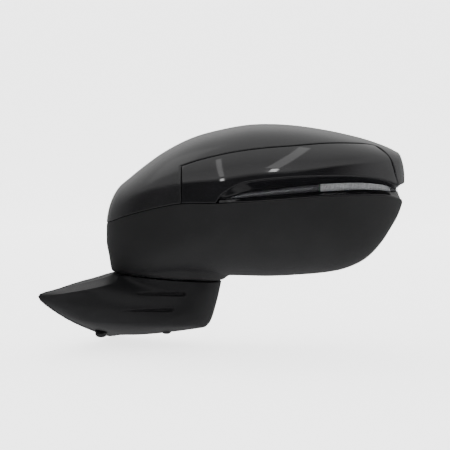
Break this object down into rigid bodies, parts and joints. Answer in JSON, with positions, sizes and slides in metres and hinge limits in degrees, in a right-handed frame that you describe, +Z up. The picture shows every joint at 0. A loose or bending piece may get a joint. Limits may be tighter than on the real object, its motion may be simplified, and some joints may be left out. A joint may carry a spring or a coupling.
{
  "type": "car door mirror",
  "caption": "Powered folding car door mirror: gloss upper shell, lamp scoop, grained lower shell and foot, with fold and glass tilt drives inside.",
  "frame": {"origin": "a point near the middle of the flat face that seats on the door", "axes": "+X outboard along the head, +Y to the rear of the car, which is the glass side, +Z up"},
  "size_m": [0.3054, 0.134, 0.1875],
  "materials": {
    "gloss_black": "gloss",
    "textured_black": "fine grained",
    "foot_black": "fine grained",
    "satin_black": "satin",
    "inner_plastic": "moulded",
    "white_plastic": "moulded",
    "rubber": "matte",
    "die_cast": "cast",
    "steel": "zinc plated",
    "spring_steel": "bright",
    "brass": "machined",
    "clear_lens": "polished",
    "light_guide": "polished",
    "reflector": "bright",
    "circuit_board": "solder mask",
    "led": "epoxy",
    "mirror": "silvered glass",
    "heater": "film"
  },
  "bodies": {
    "base": {"base_cover": "foot_black", "base_bracket": "die_cast", "door_gasket": "rubber", "mounting_studs": "steel", "locating_pegs": "die_cast", "base_screws": "satin_black", "wiring_grommet": "rubber", "pivot_shaft": "steel", "shaft_screws": "steel", "detent_ring": "steel", "fold_spring": "spring_steel", "spring_retainer": "steel", "fold_gear": "brass"},
    "head": {"head_frame": "inner_plastic", "thrust_washer": "steel", "fold_case_lower": "inner_plastic", "fold_case_upper": "inner_plastic", "fold_case_screws": "steel", "fold_motor": "steel", "upper_cap": "gloss_black", "front_trim": "gloss_black", "lower_cover": "textured_black", "lamp_channel": "satin_black", "lamp_lens": "clear_lens", "lamp_light_guide": "light_guide", "lamp_reflector": "reflector", "lamp_housing": "inner_plastic", "lamp_circuit_board": "circuit_board", "lamp_leds": "led", "rear_bezel": "satin_black", "bezel_screws": "steel", "cap_clips": "spring_steel", "actuator_case_front": "inner_plastic", "actuator_case_back": "inner_plastic", "actuator_screws": "steel", "tilt_motor": "steel", "pan_motor": "steel"},
    "fold_worm": {"fold_worm": "brass"},
    "fold_idler": {"fold_idler": "brass"},
    "tilt_worm": {"tilt_worm": "brass"},
    "pan_worm": {"pan_worm": "brass"},
    "tilt_gear": {"tilt_gear": "white_plastic"},
    "pan_gear": {"pan_gear": "white_plastic"},
    "tilt_screw": {"tilt_screw": "white_plastic"},
    "pan_screw": {"pan_screw": "white_plastic"},
    "pivot_ring": {"pivot_ring": "inner_plastic"},
    "glass": {"glass_holder": "inner_plastic", "heater_pad": "heater", "mirror_glass": "mirror"}
  },
  "joints": [
    {"name": "head_fold", "type": "hinge", "parent": "base", "child": "head", "pos_m": [0.073, 0, 0.0253], "axis": [0.0828, 0, 0.9966], "range_deg": [-55, 65]},
    {"name": "glass_pan", "type": "hinge", "parent": "head", "child": "pivot_ring", "pos_m": [0.174, 0.026, 0.091], "axis": [0, 0, 1], "range_deg": [-7, 7]},
    {"name": "glass_tilt", "type": "hinge", "parent": "pivot_ring", "child": "glass", "pos_m": [0.174, 0.026, 0.091], "axis": [1, 0, 0], "range_deg": [-7, 7]},
    {"name": "pan_screw_slide", "type": "slide", "parent": "head", "child": "pan_screw", "axis": [0, 1, 0], "range_m": [-0.00375, 0.00375]},
    {"name": "tilt_screw_slide", "type": "slide", "parent": "head", "child": "tilt_screw", "axis": [0, 1, 0], "range_m": [-0.00375, 0.00375]},
    {"name": "pan_gear_spin", "type": "hinge", "parent": "head", "child": "pan_gear", "pos_m": [0.204, 0.00445, 0.091], "axis": [0, 1, 0], "range_deg": [-225, 225]},
    {"name": "tilt_gear_spin", "type": "hinge", "parent": "head", "child": "tilt_gear", "pos_m": [0.174, 0.00445, 0.121], "axis": [0, 1, 0], "range_deg": [-225, 225]},
    {"name": "pan_worm_spin", "type": "hinge", "parent": "head", "child": "pan_worm", "pos_m": [0.1897, 0.00445, 0.091], "axis": [0, 0, 1], "range_deg": [-6700, 6700]},
    {"name": "tilt_worm_spin", "type": "hinge", "parent": "head", "child": "tilt_worm", "pos_m": [0.166, 0.00445, 0.1067], "axis": [1, 0, 0], "range_deg": [-6700, 6700]},
    {"name": "fold_idler_spin", "type": "hinge", "parent": "head", "child": "fold_idler", "pos_m": [0.09839, 0, 0.06634], "axis": [0, 1, 0], "range_deg": [-1850, 1850]},
    {"name": "fold_worm_spin", "type": "hinge", "parent": "head", "child": "fold_worm", "pos_m": [0.10825, 0.01, 0.06552], "axis": [0.0828, 0, 0.9966], "range_deg": [-37000, 37000]}
  ],
  "couplings": [
    {"joint": "pan_screw_slide", "follows": "glass_pan", "m_per_rad": 0.03},
    {"joint": "tilt_screw_slide", "follows": "glass_tilt", "m_per_rad": -0.03},
    {"joint": "pan_gear_spin", "follows": "glass_pan", "ratio": 31.416},
    {"joint": "tilt_gear_spin", "follows": "glass_tilt", "ratio": -31.416},
    {"joint": "pan_worm_spin", "follows": "glass_pan", "ratio": 942.48},
    {"joint": "tilt_worm_spin", "follows": "glass_tilt", "ratio": -942.48},
    {"joint": "fold_idler_spin", "follows": "head_fold", "ratio": 28},
    {"joint": "fold_worm_spin", "follows": "head_fold", "ratio": 560}
  ]
}
